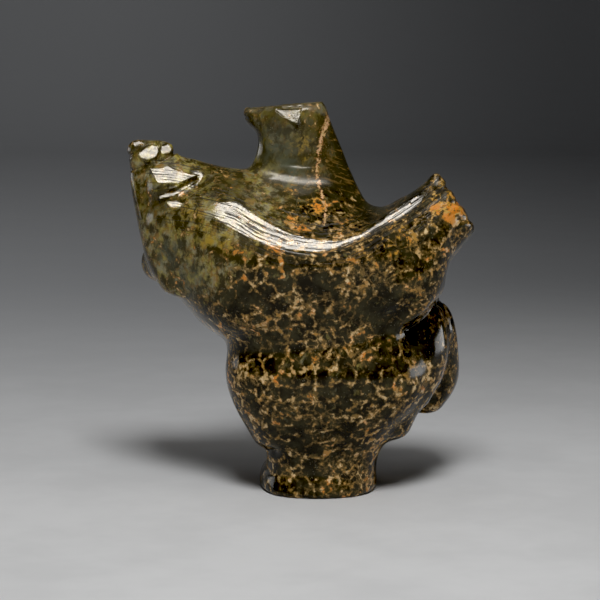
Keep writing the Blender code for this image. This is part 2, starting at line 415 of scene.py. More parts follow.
@dataclass(frozen=True)
class Grain:
    """A noise: how wide its largest grains are in millimetres, and how many and how strong its finer ones."""

    size: float
    detail: float = 2
    rough: float = 0.5


@dataclass(frozen=True)
class Ease:
    """A soft step from bottom at low to top at high."""

    low: float
    high: float
    bottom: float = 0.0
    top: float = 1.0


@dataclass(frozen=True)
class Lie:
    """How a pattern lies: its turn in degrees and its stretch along its own three directions."""

    degrees: Triple
    stretch: Triple


@dataclass(frozen=True)
class Patches:
    """A noise taken over a soft step, turned and stretched where it has a lie."""

    grain: Grain
    ease: Ease
    lie: Lie | None = None


class NodeBench:
    """Adds and wires the nodes of one material."""

    # The Mix node's sockets for the two colours and for their blend
    first_colour, second_colour, blended = 6, 7, 2

    def __init__(self, name: str) -> None:
        """Starts a material with a shader and an output."""
        self.material = bpy.data.materials.new(name)
        self.material.use_nodes = True
        self.tree = self.material.node_tree
        self.tree.nodes.clear()
        self.shader = self.tree.nodes.new("ShaderNodeBsdfPrincipled")
        output = self.tree.nodes.new("ShaderNodeOutputMaterial")
        self.tree.links.new(self.shader.outputs["BSDF"], output.inputs["Surface"])

    def set(self, socket: Socket, value: Value | tuple) -> None:
        """Wires value to socket, or sets it there where it is a number or colour."""
        if isinstance(value, bpy.types.NodeSocket):
            self.tree.links.new(value, socket)
        elif isinstance(value, tuple) and len(value) == 3 and socket.type == "RGBA":
            socket.default_value = (*value, 1)
        else:
            socket.default_value = value

    def node(self, kind: str, output: str | int, inputs: dict, **settings: object) -> Socket:
        """Adds a node.

        Args:
            kind: The node's kind, without the words that all kinds start with.
            output: Which of its outputs is wanted.
            inputs: What goes into its sockets.
            settings: Its other properties.

        Returns:
            The output.
        """
        node = self.tree.nodes.new(f"ShaderNode{kind}")
        for name, setting in settings.items():
            setattr(node, name, setting)
        for name, value in inputs.items():
            self.set(node.inputs[name], value)
        return node.outputs[output]

    def shade(self, name: str, value: Value) -> None:
        """Gives the shader one of its inputs."""
        self.set(self.shader.inputs[name], value)

    def attribute(self, name: str, output: str = "Fac") -> Socket:
        """Reads a value that the carving holds at each point."""
        return self.node("Attribute", output, {}, attribute_name=name)

    def region(self, name: str, share: float) -> Socket:
        """Reads how strong a region is at each point, times a share."""
        return self.times(self.attribute(name), share)

    def object_place(self) -> Socket:
        """Gives the place on the object in millimetres."""
        return self.scaled(self.node("TexCoord", "Object", {}), 1 / MILLIMETRE)

    def scaled(self, vector: Socket, scale: float) -> Socket:
        """Makes a vector longer or shorter."""
        return self.node("VectorMath", "Vector", {0: vector, "Scale": scale}, operation="SCALE")

    def along(self, vector: Socket, way: Triple) -> Socket:
        """Measures a place along one direction."""
        return self.node("VectorMath", "Value", {0: vector, 1: way}, operation="DOT_PRODUCT")

    def turned(self, vector: Socket, lie: Lie) -> Socket:
        """Turns a pattern and stretches it along its own directions."""
        turn = tuple(math.radians(angle) for angle in lie.degrees)
        inputs = {"Vector": vector, "Rotation": turn, "Scale": lie.stretch}
        return self.node("Mapping", "Vector", inputs, vector_type="TEXTURE")

    def noise(self, vector: Socket, grain: Grain, output: str = "Fac") -> Socket:
        """Adds a noise."""
        inputs = {"Vector": vector, "Scale": 1 / grain.size, "Detail": grain.detail, "Roughness": grain.rough}
        return self.node("TexNoise", output, inputs)

    def pushed(self, vector: Socket, grain: Grain, distance: float) -> Socket:
        """Pushes a place about by a noise, over so many millimetres."""
        inputs = {0: self.noise(vector, grain, "Color"), 1: (NOISE_MIDDLE,) * 3}
        shift = self.scaled(self.node("VectorMath", "Vector", inputs, operation="SUBTRACT"), distance)
        return self.node("VectorMath", "Vector", {0: vector, 1: shift}, operation="ADD")

    def cells(self, vector: Socket, size: float, feature: str = "F1", output: str = "Distance") -> Socket:
        """Adds a pattern of cells about size millimetres wide."""
        return self.node("TexVoronoi", output, {"Vector": vector, "Scale": 1 / size}, feature=feature)

    def net_lines(self, vector: Socket, size: float, line: Ease) -> Socket:
        """Adds lines between cells about size millimetres wide."""
        return self.ramp(self.cells(vector, size, "DISTANCE_TO_EDGE"), line)

    def ramp(self, value: Socket, ease: Ease) -> Socket:
        """Takes a value over a soft step."""
        ends = {"From Min": ease.low, "From Max": ease.high, "To Min": ease.bottom, "To Max": ease.top}
        return self.node("MapRange", "Result", {"Value": value, **ends}, interpolation_type="SMOOTHSTEP")

    def patches(self, vector: Socket, patches: Patches) -> Socket:
        """Adds patches."""
        if patches.lie:
            vector = self.turned(vector, patches.lie)
        return self.ramp(self.noise(vector, patches.grain), patches.ease)

    def sum(self, operation: str, first: Value, second: Value) -> Socket:
        """Does one sum on two values."""
        return self.node("Math", "Value", {0: first, 1: second}, operation=operation)

    def plus(self, first: Value, second: Value) -> Socket:
        """Adds two values."""
        return self.sum("ADD", first, second)

    def minus(self, first: Value, second: Value) -> Socket:
        """Takes the second value from the first."""
        return self.sum("SUBTRACT", first, second)

    def times(self, first: Value, second: Value) -> Socket:
        """Multiplies two values."""
        return self.sum("MULTIPLY", first, second)

    def larger(self, first: Value, second: Value) -> Socket:
        """Keeps the larger of two values."""
        return self.sum("MAXIMUM", first, second)

    def swing(self, noise: Socket, strength: Value) -> Socket:
        """Makes a noise swing to both sides of 0."""
        return self.times(self.minus(noise, NOISE_MIDDLE), strength)

    def blend(self, share: Value, first: Socket | Colour, second: Socket | Colour) -> Socket:
        """Blends from the first colour to the second."""
        inputs = {"Factor": share, self.first_colour: first, self.second_colour: second}
        return self.node("Mix", self.blended, inputs, data_type="RGBA")

    def bump(self, height: Socket, distance: float, before: Socket | None = None) -> Socket:
        """Raises the surface by height times distance millimetres, or lowers it where distance is below 0."""
        inputs = {"Height": height, "Distance": abs(distance) * MILLIMETRE}
        if before is not None:
            inputs["Normal"] = before
        return self.node("Bump", "Normal", inputs, invert=distance < 0)


@dataclass(frozen=True)
class StoneColours:
    """The colours of the stone, among them the grey painted as sheen."""

    dark: Colour = (0.013, 0.01, 0.004)
    green_dark: Colour = (0.044, 0.038, 0.017)
    loam: Colour = (0.056, 0.044, 0.015)
    moss: Colour = (0.38, 0.31, 0.08)
    sage: Colour = (0.31, 0.285, 0.165)
    umber: Colour = (0.29, 0.165, 0.045)
    gold: Colour = (0.42, 0.28, 0.05)
    # Grey painted as the sheen on the neck and at the left arm's edge
    slate_sheen: Colour = (0.1, 0.108, 0.07)
    haze: Colour = (0.19, 0.12, 0.04)
    dim: Colour = (0.27, 0.165, 0.05)
    tan: Colour = (0.6, 0.41, 0.185)
    ochre: Colour = (0.47, 0.25, 0.065)
    orange: Colour = (0.76, 0.25, 0.03)
    amber: Colour = (0.64, 0.35, 0.045)
    pale: Colour = (0.8, 0.61, 0.34)
    vein: Colour = (0.82, 0.5, 0.29)
    grit: Colour = (0.4, 0.35, 0.22)


class StoneBench(NodeBench):
    """The bench on which the stone's layers are painted, with the colours and the places on the stone."""

    def __init__(self, finish: StoneFinish) -> None:
        """Starts the material of a finish."""
        super().__init__("polished_stone")
        self.colours = finish.colours
        self.place = self.object_place()
        self.warped = self.pushed(self.place, finish.push, finish.push_by)


@dataclass(frozen=True)
class FileLines:
    """The fine lines that the file leaves along the ridge and the notch, with painted shade that darkens them
    as their grooves look in the highlights.
    """

    drift: Grain = Grain(6)
    drift_by: float = 1.1
    line: Patches = Patches(Grain(0.42, 3, 0.6), Ease(0.54, 0.6), Lie((0, 0, 0), (60, 1, 1)))
    groove_shade: float = 0.8

    def draw(self, bench: NodeBench) -> Socket:
        """Draws the lines, 1 in a line and 0 beside it."""
        brush = bench.pushed(bench.attribute("brush", "Vector"), self.drift, self.drift_by)
        return bench.times(bench.patches(brush, self.line), bench.attribute("brushed"))


@dataclass(frozen=True)
class Ground:
    """The dark stone, its mossy and golden clouds, the grey sheen painted on the neck and the left arm, and
    the painted shade with slanting streaks right of the neck.
    """

    depth: Patches = Patches(Grain(5, 4, 0.6), Ease(0.38, 0.66))
    loam_ease: Ease = Ease(0.1, 0.7)
    streak: Grain = Grain(0.8, 3)
    streak_lie: Lie = Lie((0, 12, 0), (1, 1, 3.5))
    streak_swing: float = 0.6
    cloud: Grain = Grain(3.4, 4)
    cloud_swing: Ease = Ease(0.0, 0.6, 1.0, 1.5)
    cloud_growth: float = 0.32
    cloud_ease: Ease = Ease(0.6, 1.0)
    moss: Patches = Patches(Grain(2.8, 4, 0.6), Ease(0.4, 0.6))
    brown: Patches = Patches(Grain(2.0, 4, 0.65), Ease(0.48, 0.64, 0.0, 0.9), Lie((0, 12, 0), (1, 1, 2.2)))
    deep_share: float = 0.82
    gold: Grain = Grain(2.6, 5, 0.65)
    gold_growth: float = 0.2
    gold_ease: Ease = Ease(0.58, 0.82)
    gold_in_cloud: Ease = Ease(0.6, 0.85)
    # Patches of the painted grey sheen
    slate_sheen: Patches = Patches(Grain(2.4, 3), Ease(0.3, 0.7))
    slant: Patches = Patches(Grain(0.75, 3, 0.55), Ease(0.54, 0.64, 0.0, 0.8), Lie((0, 22, 0), (8, 8, 1)))

    def clouds(self, bench: StoneBench) -> Socket:
        """Works out how far the clouds have grown at each place."""
        olive = bench.attribute("olive")
        streaks = bench.noise(bench.turned(bench.warped, self.streak_lie), self.streak)
        cloud = bench.swing(bench.noise(bench.warped, self.cloud), bench.ramp(olive, self.cloud_swing))
        grown = bench.plus(bench.plus(cloud, NOISE_MIDDLE), bench.times(olive, self.cloud_growth))
        return bench.plus(grown, bench.swing(streaks, self.streak_swing))

    def mossy(self, bench: StoneBench) -> Socket:
        """Mixes the colour of the clouds."""
        colours = bench.colours
        colour = bench.blend(bench.patches(bench.place, self.moss), colours.sage, colours.moss)
        colour = bench.blend(bench.patches(bench.place, self.brown), colour, colours.umber)
        return bench.blend(bench.region("deep", self.deep_share), colour, colours.green_dark)

    def paint(self, bench: StoneBench) -> Socket:
        """Paints the ground."""
        colours = bench.colours
        colour = bench.blend(bench.patches(bench.warped, self.depth), colours.dark, colours.green_dark)
        colour = bench.blend(bench.ramp(bench.attribute("olive"), self.loam_ease), colour, colours.loam)
        grown = self.clouds(bench)
        colour = bench.blend(bench.ramp(grown, self.cloud_ease), colour, self.mossy(bench))
        golden = bench.plus(bench.noise(bench.warped, self.gold), bench.region("golden", self.gold_growth))
        lit = bench.times(bench.ramp(golden, self.gold_ease), bench.ramp(grown, self.gold_in_cloud))
        colour = bench.blend(lit, colour, colours.gold)
        # Painted sheen: grey patches stand in for the grey reflections on the neck and at the left arm's edge
        slate_sheen = bench.times(bench.patches(bench.warped, self.slate_sheen), bench.attribute("slate_sheen"))
        colour = bench.blend(slate_sheen, colour, colours.slate_sheen)
        shade_and_slants = bench.attribute("shade_and_slants")
        # Painted shade: the right of the neck, which turns away from the light, is darkened to the deep green
        # before its streaks go on
        colour = bench.blend(shade_and_slants, colour, colours.green_dark)
        slants = bench.times(bench.patches(bench.place, self.slant), shade_and_slants)
        return bench.blend(slants, colour, colours.umber)


@dataclass(frozen=True)
class Speckles:
    """The branching speckles between dark cells, each brown at its rim and pale in its middle."""

    cell: float = 4.3
    wide_line: Ease = Ease(0.02, 0.22, 1.0, 0.0)
    gap: Patches = Patches(Grain(3.2, 3, 0.6), Ease(0.4, 0.58, 0.25, 1.0))
    wide_loss: float = 0.4
    small_cell: float = 2.3
    fine_line: Ease = Ease(0.0, 0.26, 1.0, 0.0)
    fine: Patches = Patches(Grain(14), Ease(0.45, 0.62, 0.0, 0.75))
    fine_gain: float = 0.95
    net_share: float = 0.42
    spread: Grain = Grain(10, 3)
    spread_share: float = 0.45
    blotch: Grain = Grain(1.45)
    ragged: Grain = Grain(0.5, 2, 0.6)
    ragged_swing: float = 0.25
    region_gains: tuple[tuple[str, float], ...] = (
        ("olive", -0.24), ("plain", -0.34), ("sparse", -0.07), ("orange", 0.28), ("dense", -0.05),
    )
    haze_ease: Ease = Ease(0.78, 1.04, 0.0, 0.85)
    rim_ease: Ease = Ease(0.99, 1.13)
    core_ease: Ease = Ease(1.1, 1.24)
    blob: float = 1.7
    ochre_blobs: Ease = Ease(0.0, 0.45)
    tan_blobs: Ease = Ease(0.4, 0.75)
    orange_blobs: Ease = Ease(0.05, 0.5)
    pale_blobs: Ease = Ease(0.35, 0.95)
    pale_in_orange: Ease = Ease(0.1, 0.7, 1.0, 0.15)
    amber_share: float = 0.85
    rust: Patches = Patches(Grain(5, 3), Ease(0.54, 0.68, 0.0, 0.8))
    dot: float = 0.7
    dot_ease: Ease = Ease(0.08, 0.3, 1.0, 0.0)
    dust: Patches = Patches(Grain(2.0, 3, 0.6), Ease(0.52, 0.64, 0.0, 0.5))

    def net(self, bench: StoneBench) -> Socket:
        """Draws the wide and the fine net along which the speckles gather."""
        wide = bench.net_lines(bench.warped, self.cell, self.wide_line)
        wide = bench.times(wide, bench.patches(bench.place, self.gap))
        wide = bench.times(wide, bench.minus(1.0, bench.region("dense", self.wide_loss)))
        share = bench.larger(bench.patches(bench.place, self.fine), bench.region("dense", self.fine_gain))
        fine = bench.times(bench.net_lines(bench.warped, self.small_cell, self.fine_line), share)
        return bench.larger(wide, fine)

    def amount(self, bench: StoneBench) -> Socket:
        """Works out how strongly the speckles show: about 1 at a rim and more in a middle."""
        value = bench.plus(bench.noise(bench.place, self.blotch),
                           bench.swing(bench.noise(bench.place, self.ragged), self.ragged_swing))
        value = bench.plus(value, bench.times(self.net(bench), self.net_share))
        value = bench.plus(value, bench.times(bench.noise(bench.place, self.spread), self.spread_share))
        for name, gain in self.region_gains:
            value = bench.plus(value, bench.region(name, gain))
        return value

    def paint(self, bench: StoneBench, colour: Socket) -> Socket:
        """Paints the speckles, their haze and the pale dots over a colour."""
        colours = bench.colours
        value = self.amount(bench)
        colour = bench.blend(bench.ramp(value, self.haze_ease), colour, colours.haze)
        orange = bench.attribute("orange")
        lots = bench.cells(bench.warped, self.blob, output="Color")
        lot, other = bench.along(lots, (1, 0, 0)), bench.along(lots, (0, 1, 0))
        speckle = bench.blend(bench.ramp(lot, self.ochre_blobs), colours.dim, colours.ochre)
        speckle = bench.blend(bench.ramp(lot, self.tan_blobs), speckle, colours.tan)
        speckle = bench.blend(bench.region("dense", self.amber_share), speckle, colours.amber)
        rusty = bench.larger(orange, bench.patches(bench.place, self.rust))
        rusty = bench.times(rusty, bench.ramp(other, self.orange_blobs))
        speckle = bench.blend(rusty, speckle, colours.orange)
        colour = bench.blend(bench.ramp(value, self.rim_ease), colour, speckle)
        core = bench.times(bench.ramp(value, self.core_ease), bench.ramp(other, self.pale_blobs))
        core = bench.times(core, bench.ramp(orange, self.pale_in_orange))
        colour = bench.blend(core, colour, colours.pale)
        dots = bench.ramp(bench.cells(bench.place, self.dot), self.dot_ease)
        dots = bench.times(dots, bench.patches(bench.place, self.dust))
        return bench.blend(dots, colour, colours.grit)


@dataclass(frozen=True)
class Vein:
    """The pink vein down the back of the neck."""

    ragged: Grain = Grain(0.8, 4, 0.7)
    ragged_swing: float = 7.0
    width: Ease = Ease(0.35, 1.25, 1.0, 0.0)
    pink: Patches = Patches(Grain(1.1, 3, 0.6), Ease(0.44, 0.64))
    rim_ease: Ease = Ease(0.3, 1.0, 0.0, 0.7)

    def paint(self, bench: StoneBench, colour: Socket) -> Socket:
        """Paints the vein over a colour."""
        colours = bench.colours
        ragged = bench.swing(bench.noise(bench.place, self.ragged), self.ragged_swing)
        apart = bench.plus(bench.attribute("vein"), ragged)
        tone = bench.blend(bench.patches(bench.place, self.pink), colours.tan, colours.vein)
        tone = bench.blend(bench.ramp(apart, self.rim_ease), tone, colours.orange)
        return bench.blend(bench.ramp(apart, self.width), colour, tone)


@dataclass(frozen=True)
class Polish:
    """The gloss, its fine scratches, the pits by the ear and where it is rubbed off."""

    refraction: float = 1.38
    wear: Patches = Patches(Grain(2.6, 5, 0.65), Ease(0.3, 0.75, 0.1, 0.2))
    wave: Grain = Grain(1.8, 3)
    wave_height: float = 0.03
    line_height: float = -0.04
    line_rough: float = 0.4
    scratches: tuple[tuple[Grain, Lie], ...] = (
        (Grain(0.5), Lie((20, 35, 60), (12, 1, 1))),
        (Grain(0.45), Lie((70, -20, -35), (12, 1, 1))),
    )
    scratch_height: float = 0.006
    pit: float = 0.55
    pit_ease: Ease = Ease(0.1, 0.45, 1.0, 0.0)
    pit_height: float = -0.12
    pit_rough: float = 0.2
    satin_rough: float = 0.22
    worn_rough: float = 0.8

    def apply(self, bench: StoneBench, lines: Socket) -> None:
        """Sets how the stone shines.

        Args:
            bench: The stone's bench.
            lines: The file's lines, 1 in a line and 0 beside it.
        """
        crossed, swirl = (bench.noise(bench.turned(bench.place, lie), grain) for grain, lie in self.scratches)
        pits = bench.ramp(bench.cells(bench.place, self.pit), self.pit_ease)
        pitted = bench.times(pits, bench.attribute("pitted"))
        normal = bench.bump(bench.noise(bench.place, self.wave), self.wave_height)
        normal = bench.bump(lines, self.line_height, normal)
        normal = bench.bump(bench.plus(crossed, swirl), self.scratch_height, normal)
        bench.shade("Normal", bench.bump(pitted, self.pit_height, normal))
        rough = bench.patches(bench.place, self.wear)
        rubbed = bench.larger(bench.attribute("worn"), bench.attribute("dull"))
        rough = bench.plus(rough, bench.region("satin", self.satin_rough))
        for where, more in ((pitted, self.pit_rough), (lines, self.line_rough), (rubbed, self.worn_rough)):
            rough = bench.plus(rough, bench.times(where, more))
        bench.shade("Roughness", rough)
        bench.shade("IOR", self.refraction)


@dataclass(frozen=True)
class StoneFinish:
    """The polished dark green stone with its ochre speckles and pink vein. Sizes are in millimetres."""

    colours: StoneColours = StoneColours()
    lines: FileLines = FileLines()
    ground: Ground = Ground()
    speckles: Speckles = Speckles()
    vein: Vein = Vein()
    polish: Polish = Polish()
    push: Grain = Grain(3.0, 3, 0.55)
    push_by: float = 3.6

    def build(self) -> bpy.types.Material:
        """Builds the material."""
        bench = StoneBench(self)
        lines = self.lines.draw(bench)
        colour = self.ground.paint(bench)
        colour = self.speckles.paint(bench, colour)
        colour = self.vein.paint(bench, colour)
        # Painted shade: the file's lines are darkened in colour
        colour = bench.blend(bench.times(lines, self.lines.groove_shade), colour, self.colours.dark)
        bench.shade("Base Color", colour)
        self.polish.apply(bench, lines)
        return bench.material


@dataclass
class BearCarving:
    """The whole carving: one stone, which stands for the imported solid."""

    grid: DrawingGrid
    finish: StoneFinish
    node: str = "bear"
    name: str = "bear_stone"
    fineness: float = 0.00075
    merge_distance: float = 0.00001
    even_rounds: int = 36
    late_rounds: int = 6
    last_rounds: int = 1
    soft: Region = Region("soft", ((-40, 322, 30), (-14, 318, 30)))
    soft_rounds: int = 70
    fine: Region = Region("fine", ((-164, 322, 46), (-28, 375, 26)))
    fine_depth: float = 30
    fine_cuts: int = 3
    seen_from: float = -0.1
    ridge: Stroke = Stroke((
        (-165, 292), (-140, 290), (-113, 285), (-86, 277), (-56, 260), (-28, 249), (0, 245), (24, 247),
        (44, 255), (68, 269), (87, 282), (102, 292), (109, 297), (150, 330),
    ))
    ridge_reach: float = 36
    ridge_hold: float = 1.6
    dull_line: Stroke = Stroke((
        (-28, 233), (-8, 232), (12, 236), (30, 241), (50, 250), (70, 262), (87, 271), (102, 282.5),
        (114, 292.5), (124, 299),
    ))
    dull_reach: float = 4
    dull_hold: float = 1.5
    notch_reach: float = 14
    end_fade: float = 6
    ridge_half_widths: tuple[float, ...] = (0, 0, 7, 15, 12.5, 10, 8, 5.5, 4.5, 5.5, 6.5, 6, 0, 0)
    file_slope: float = 40.5
    neck_slope: float = 39.5
    ear_turn: float = -4
    top_slope: float = 83.6
    top_turn: float = -122.6
    notch_stroke: Stroke = Stroke(((-176, 318), (-150, 317), (-117, 311)))
    vein: Stroke = Stroke(((11, 374), (4, 355), (1, 340), (-1, 318), (1, 306), (5, 292), (8, 281), (6, 266)))
    vein_widths: tuple[float, float] = (2.1, 1.0)
    vein_far: float = 20
    regions: tuple[Region, ...] = (
        Region("olive", (
            (-150, 262, 110), (-150, 320, 90), (-95, 265, 75), (-120, 225, 60), (-30, 360, 105),
            (-70, 300, 70), (-60, 285, 60),
        )),
        Region("golden", ((-128, 278, 24), (-113, 253, 26), (-15, 345, 22), (-85, 245, 30), (-60, 255, 24))),
        # Where the grey sheen is painted
        Region("slate_sheen", ((-40, 340, 32), (-46, 352, 24), (-28, 322, 28), (-150, 238, 26), (-128, 212, 26))),
        # Where the right of the neck gets painted shade and its slanting streaks
        Region("shade_and_slants", ((28, 322, 36), (22, 348, 26), (46, 300, 34), (62, 292, 24))),
        Region("orange", (
            (137, 283, 21), (-26, 271, 12), (-44, 244, 15), (-15, 262, 11), (131, 273, 16), (0, 285, 14),
            (-80, 240, 14), (118, 282, 12),
        )),
        Region("sparse", ((0, 15, 90), (-10, 150, 50), (40, 120, 70), (-30, 60, 60))),
        Region("dense", ((-8, 285, 34), (125, 290, 36), (70, 250, 40))),
        Region("plain", (
            (62, 176, 42), (105, 150, 34), (5, 205, 20), (-78, 190, 20), (30, 320, 44), (90, 300, 30),
            (56, 282, 30), (-40, 340, 50),
        )),
        Region("pitted", ((-20, 368, 15),)),
        Region("deep", ((-40, 380, 60), (0, 360, 60), (-20, 330, 60), (-165, 290, 30), (-90, 305, 40))),
        Region("satin", ((-30, 320, 36), (-8, 316, 26), (-50, 318, 24), (6, 311, 18))),
        Region("worn", (
            (-62, 384, 12), (-50, 386, 9), (-4, 387, 11), (6, 382, 9), (-32, 387, 6), (-23, 387, 6),
            (-13, 387, 7), (-72, 380, 8),
        )),
    )

    def cuts(self) -> tuple[Cut, ...]:
        """Lists the fine grooves that sharpen those of the solid, and the swells between them."""
        behind = (
            (3.0, 1.8, (-174, 348), (-181, 342), (-191, 333)),
            (2.6, 2.0, (-160, 349), (-158.5, 340), (-161, 331)),
            (3.0, 2.2, (-186, 321), (-165, 326), (-151, 333), (-143, 338)),
            (2.4, 1.5, (-164, 301), (-152, 304), (-142, 306)),
            (4.5, 2.5, (124, 191), (116, 184), (110, 176), (102, 168), (90, 160)),
            (9.0, 4.0, (-60, 40), (-45, 38)),
            (5.0, 3.0, (136, 306), (126, 303), (118, 306)),
            (5.0, 3.0, (146, 291), (134, 286)),
            (4.0, 2.0, (153, 272), (141, 270)),
            (9.0, -3.0, (128, 312), (124, 318), (112, 316)),
            (9.0, -3.5, (140, 299), (137, 300)),
            (8.0, -2.5, (149, 281), (146, 282)),
            (9.0, -5.0, (-149, 344), (-143, 340)),
            (8.0, 2.5, (-133, 340), (-129, 338)),
            (7.0, -2.0, (-72, 384), (-71, 380)),
        )
        snout = (
            (2.6, 2.4, (34, 383), (34, 384)),
            (2.6, 2.4, (46, 383), (46, 384)),
            (2.0, 1.2, (26, 371), (40, 373), (54, 371)),
        )
        return tuple(
            Cut(Stroke(tuple(places)), width, depth, drawing)
            for drawing, rows in ((Drawing.BEHIND, behind), (Drawing.SNOUT, snout))
            for width, depth, *places in rows
        )

    def facets(self) -> tuple[Facet, ...]:
        """Lists the flats of the left paw, the notch beside it, the neck, the head's top and the near ear."""
        paw = (
            ((-186, 349), (-178, 351), (-175, 347.5), (-184, 343.5)),
            ((-174, 344.5), (-166, 348), (-160, 346), (-158.5, 339), (-161, 332.5), (-170, 327), (-177, 330),
             (-181, 336)),
            ((-158, 347), (-150, 347.5), (-145, 341), (-148, 336), (-157, 335)),
        )
        notch = (
            ((-169.5, 321), (-149, 325.5), (-135.5, 320), (-118, 312), (-130, 309), (-139, 307.5),
             (-148, 308), (-160.5, 307)),
            ((-158, 287), (-143, 295.5), (-128, 304.5), (-117, 311.5), (-128, 310), (-138, 306),
             (-150.5, 300), (-160.5, 292)),
            ((-154, 285.5), (-143, 291), (-133, 291), (-138, 284.5), (-147, 281.5)),
        )
        neck = (
            ((-42, 322.5), (-30, 328), (-18, 328.5), (-5, 323), (-4, 319), (-20, 321)),
            ((-52, 314), (-36, 318.5), (-20, 316.5), (-24, 311), (-46, 309)),
        )
        top = ((-76, 386), (-70, 391), (-10, 397), (8, 397), (5, 386), (-20, 384.5), (-60, 381.5))
        ear = ((-45, 382.5), (-16, 383), (-20, 361))
        return (
            *(Facet(outline, self.file_slope) for outline in paw + notch),
            *(Facet(outline, self.neck_slope) for outline in neck),
            Facet(top, self.top_slope, self.top_turn),
            Facet(ear, self.file_slope, self.ear_turn),
        )

    def build(self) -> bpy.types.Object:
        """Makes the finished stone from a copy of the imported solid."""
        even = Carver(self.fine_copy(), self.grid)
        even.relax(self.even_rounds)
        self.refine(even.mesh)
        carver = Carver(even.mesh, self.grid)
        carver.relax(self.late_rounds)
        carver.soften(self.soft, self.soft_rounds)
        carver.bevel(Bevel(self.ridge, self.ridge_half_widths, self.file_slope))
        for cut in self.cuts():
            carver.cut(cut)
        for facet in self.facets():
            carver.file(facet)
        carver.relax(self.last_rounds)
        self.mark(carver)
        piece = linked(self.name, carver.mesh)
        carver.mesh.shade_smooth()
        carver.mesh.materials.clear()
        carver.mesh.materials.append(self.finish.build())
        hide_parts(self.node)
        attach(piece, "root")
        return piece

    def fine_copy(self) -> bpy.types.Mesh:
        """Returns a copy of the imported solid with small, even faces."""
        bm = bmesh.new()
        bm.from_mesh(bpy.data.objects[self.node].data)
        bmesh.ops.remove_doubles(bm, verts=bm.verts, dist=self.merge_distance)
        coarse = bpy.data.meshes.new("coarse")
        bm.to_mesh(coarse)
        bm.free()
        rough = linked("coarse", coarse)
        fuse = rough.modifiers.new("fuse", "REMESH")
        fuse.mode = "VOXEL"
        fuse.voxel_size = self.fineness
        evaluated = rough.evaluated_get(bpy.context.evaluated_depsgraph_get())
        mesh = bpy.data.meshes.new_from_object(evaluated)
        bpy.data.objects.remove(rough)
        mesh.name = self.name
        return mesh

    def refine(self, mesh: bpy.types.Mesh) -> None:
        """Splits the faces of the left paw and the ear, whose cuts are the finest."""
        bm = bmesh.new()
        bm.from_mesh(mesh)
        places = np.array([vert.co for vert in bm.verts]) / self.grid.unit
        near = (self.fine.strength(self.grid.shown(places)) > 0) & (places[:, 1] < self.fine_depth)
        edges = [edge for edge in bm.edges if all(near[vert.index] for vert in edge.verts)]
        bmesh.ops.subdivide_edges(bm, edges=edges, cuts=self.fine_cuts, use_grid_fill=True)
        bm.to_mesh(mesh)
        bm.free()

    def mark(self, carver: Carver) -> None:
        """Stores where the regions, the dull line, the vein and the file's lines lie."""
        flat = self.grid.shown(carver.points)
        for region in self.regions:
            self.store(carver.mesh, region.name, region.strength(flat))
        dull = self.dull_hold - self.dull_line.measure(flat)[0] / self.dull_reach
        self.store(carver.mesh, "dull", np.clip(dull, 0, 1))
        seen = carver.inward[:, 1] > self.seen_from
        apart, along, _ = self.vein.measure(flat)
        width = np.interp(along, (0, along.max()), self.vein_widths)
        vein = np.where(seen, np.minimum(apart / width, self.vein_far), self.vein_far)
        self.store(carver.mesh, "vein", vein)
        self.mark_file_lines(carver.mesh, flat, seen)

    def mark_file_lines(self, mesh: bpy.types.Mesh, flat: np.ndarray, seen: np.ndarray) -> None:
        """Stores how the file's lines run along the ridge and the notch, and where they show.

        Args:
            mesh: The stone's mesh.
            flat: Each point's place on the drawing.
            seen: Which of the points the viewer sees.
        """
        by_ridge = self.ridge.measure(flat)
        by_notch = self.notch_stroke.measure(flat)
        ridge = np.clip(self.ridge_hold * (1 - by_ridge[0] / self.ridge_reach), 0, 1)
        ridge *= self.between_ends(self.ridge, by_ridge[1])
        notch = (by_notch[0] < self.notch_reach) * self.between_ends(self.notch_stroke, by_notch[1])
        closer = by_notch[0] < by_ridge[0]
        apart, along, side = (np.where(closer, *pair) for pair in zip(by_notch, by_ridge))
        scale = self.grid.unit / MILLIMETRE
        rows = np.stack((along * scale, apart * side * scale, np.zeros(len(flat))), axis=1)
        brush = mesh.attributes.new("brush", "FLOAT_VECTOR", "POINT")
        brush.data.foreach_set("vector", rows.astype(np.float32).ravel())
        self.store(mesh, "brushed", np.where(closer, notch, ridge) * seen)

    def between_ends(self, stroke: Stroke, along: np.ndarray) -> np.ndarray:
        """Fades from 1 along a stroke to 0 at its two ends."""
        return np.clip(np.minimum(along, stroke.lengths()[-1] - along) / self.end_fade, 0, 1)

    @staticmethod
    def store(mesh: bpy.types.Mesh, name: str, values: np.ndarray) -> None:
        """Stores one value for each point of the mesh."""
        attribute = mesh.attributes.new(name, "FLOAT", "POINT")
        attribute.data.foreach_set("value", values.astype(np.float32))


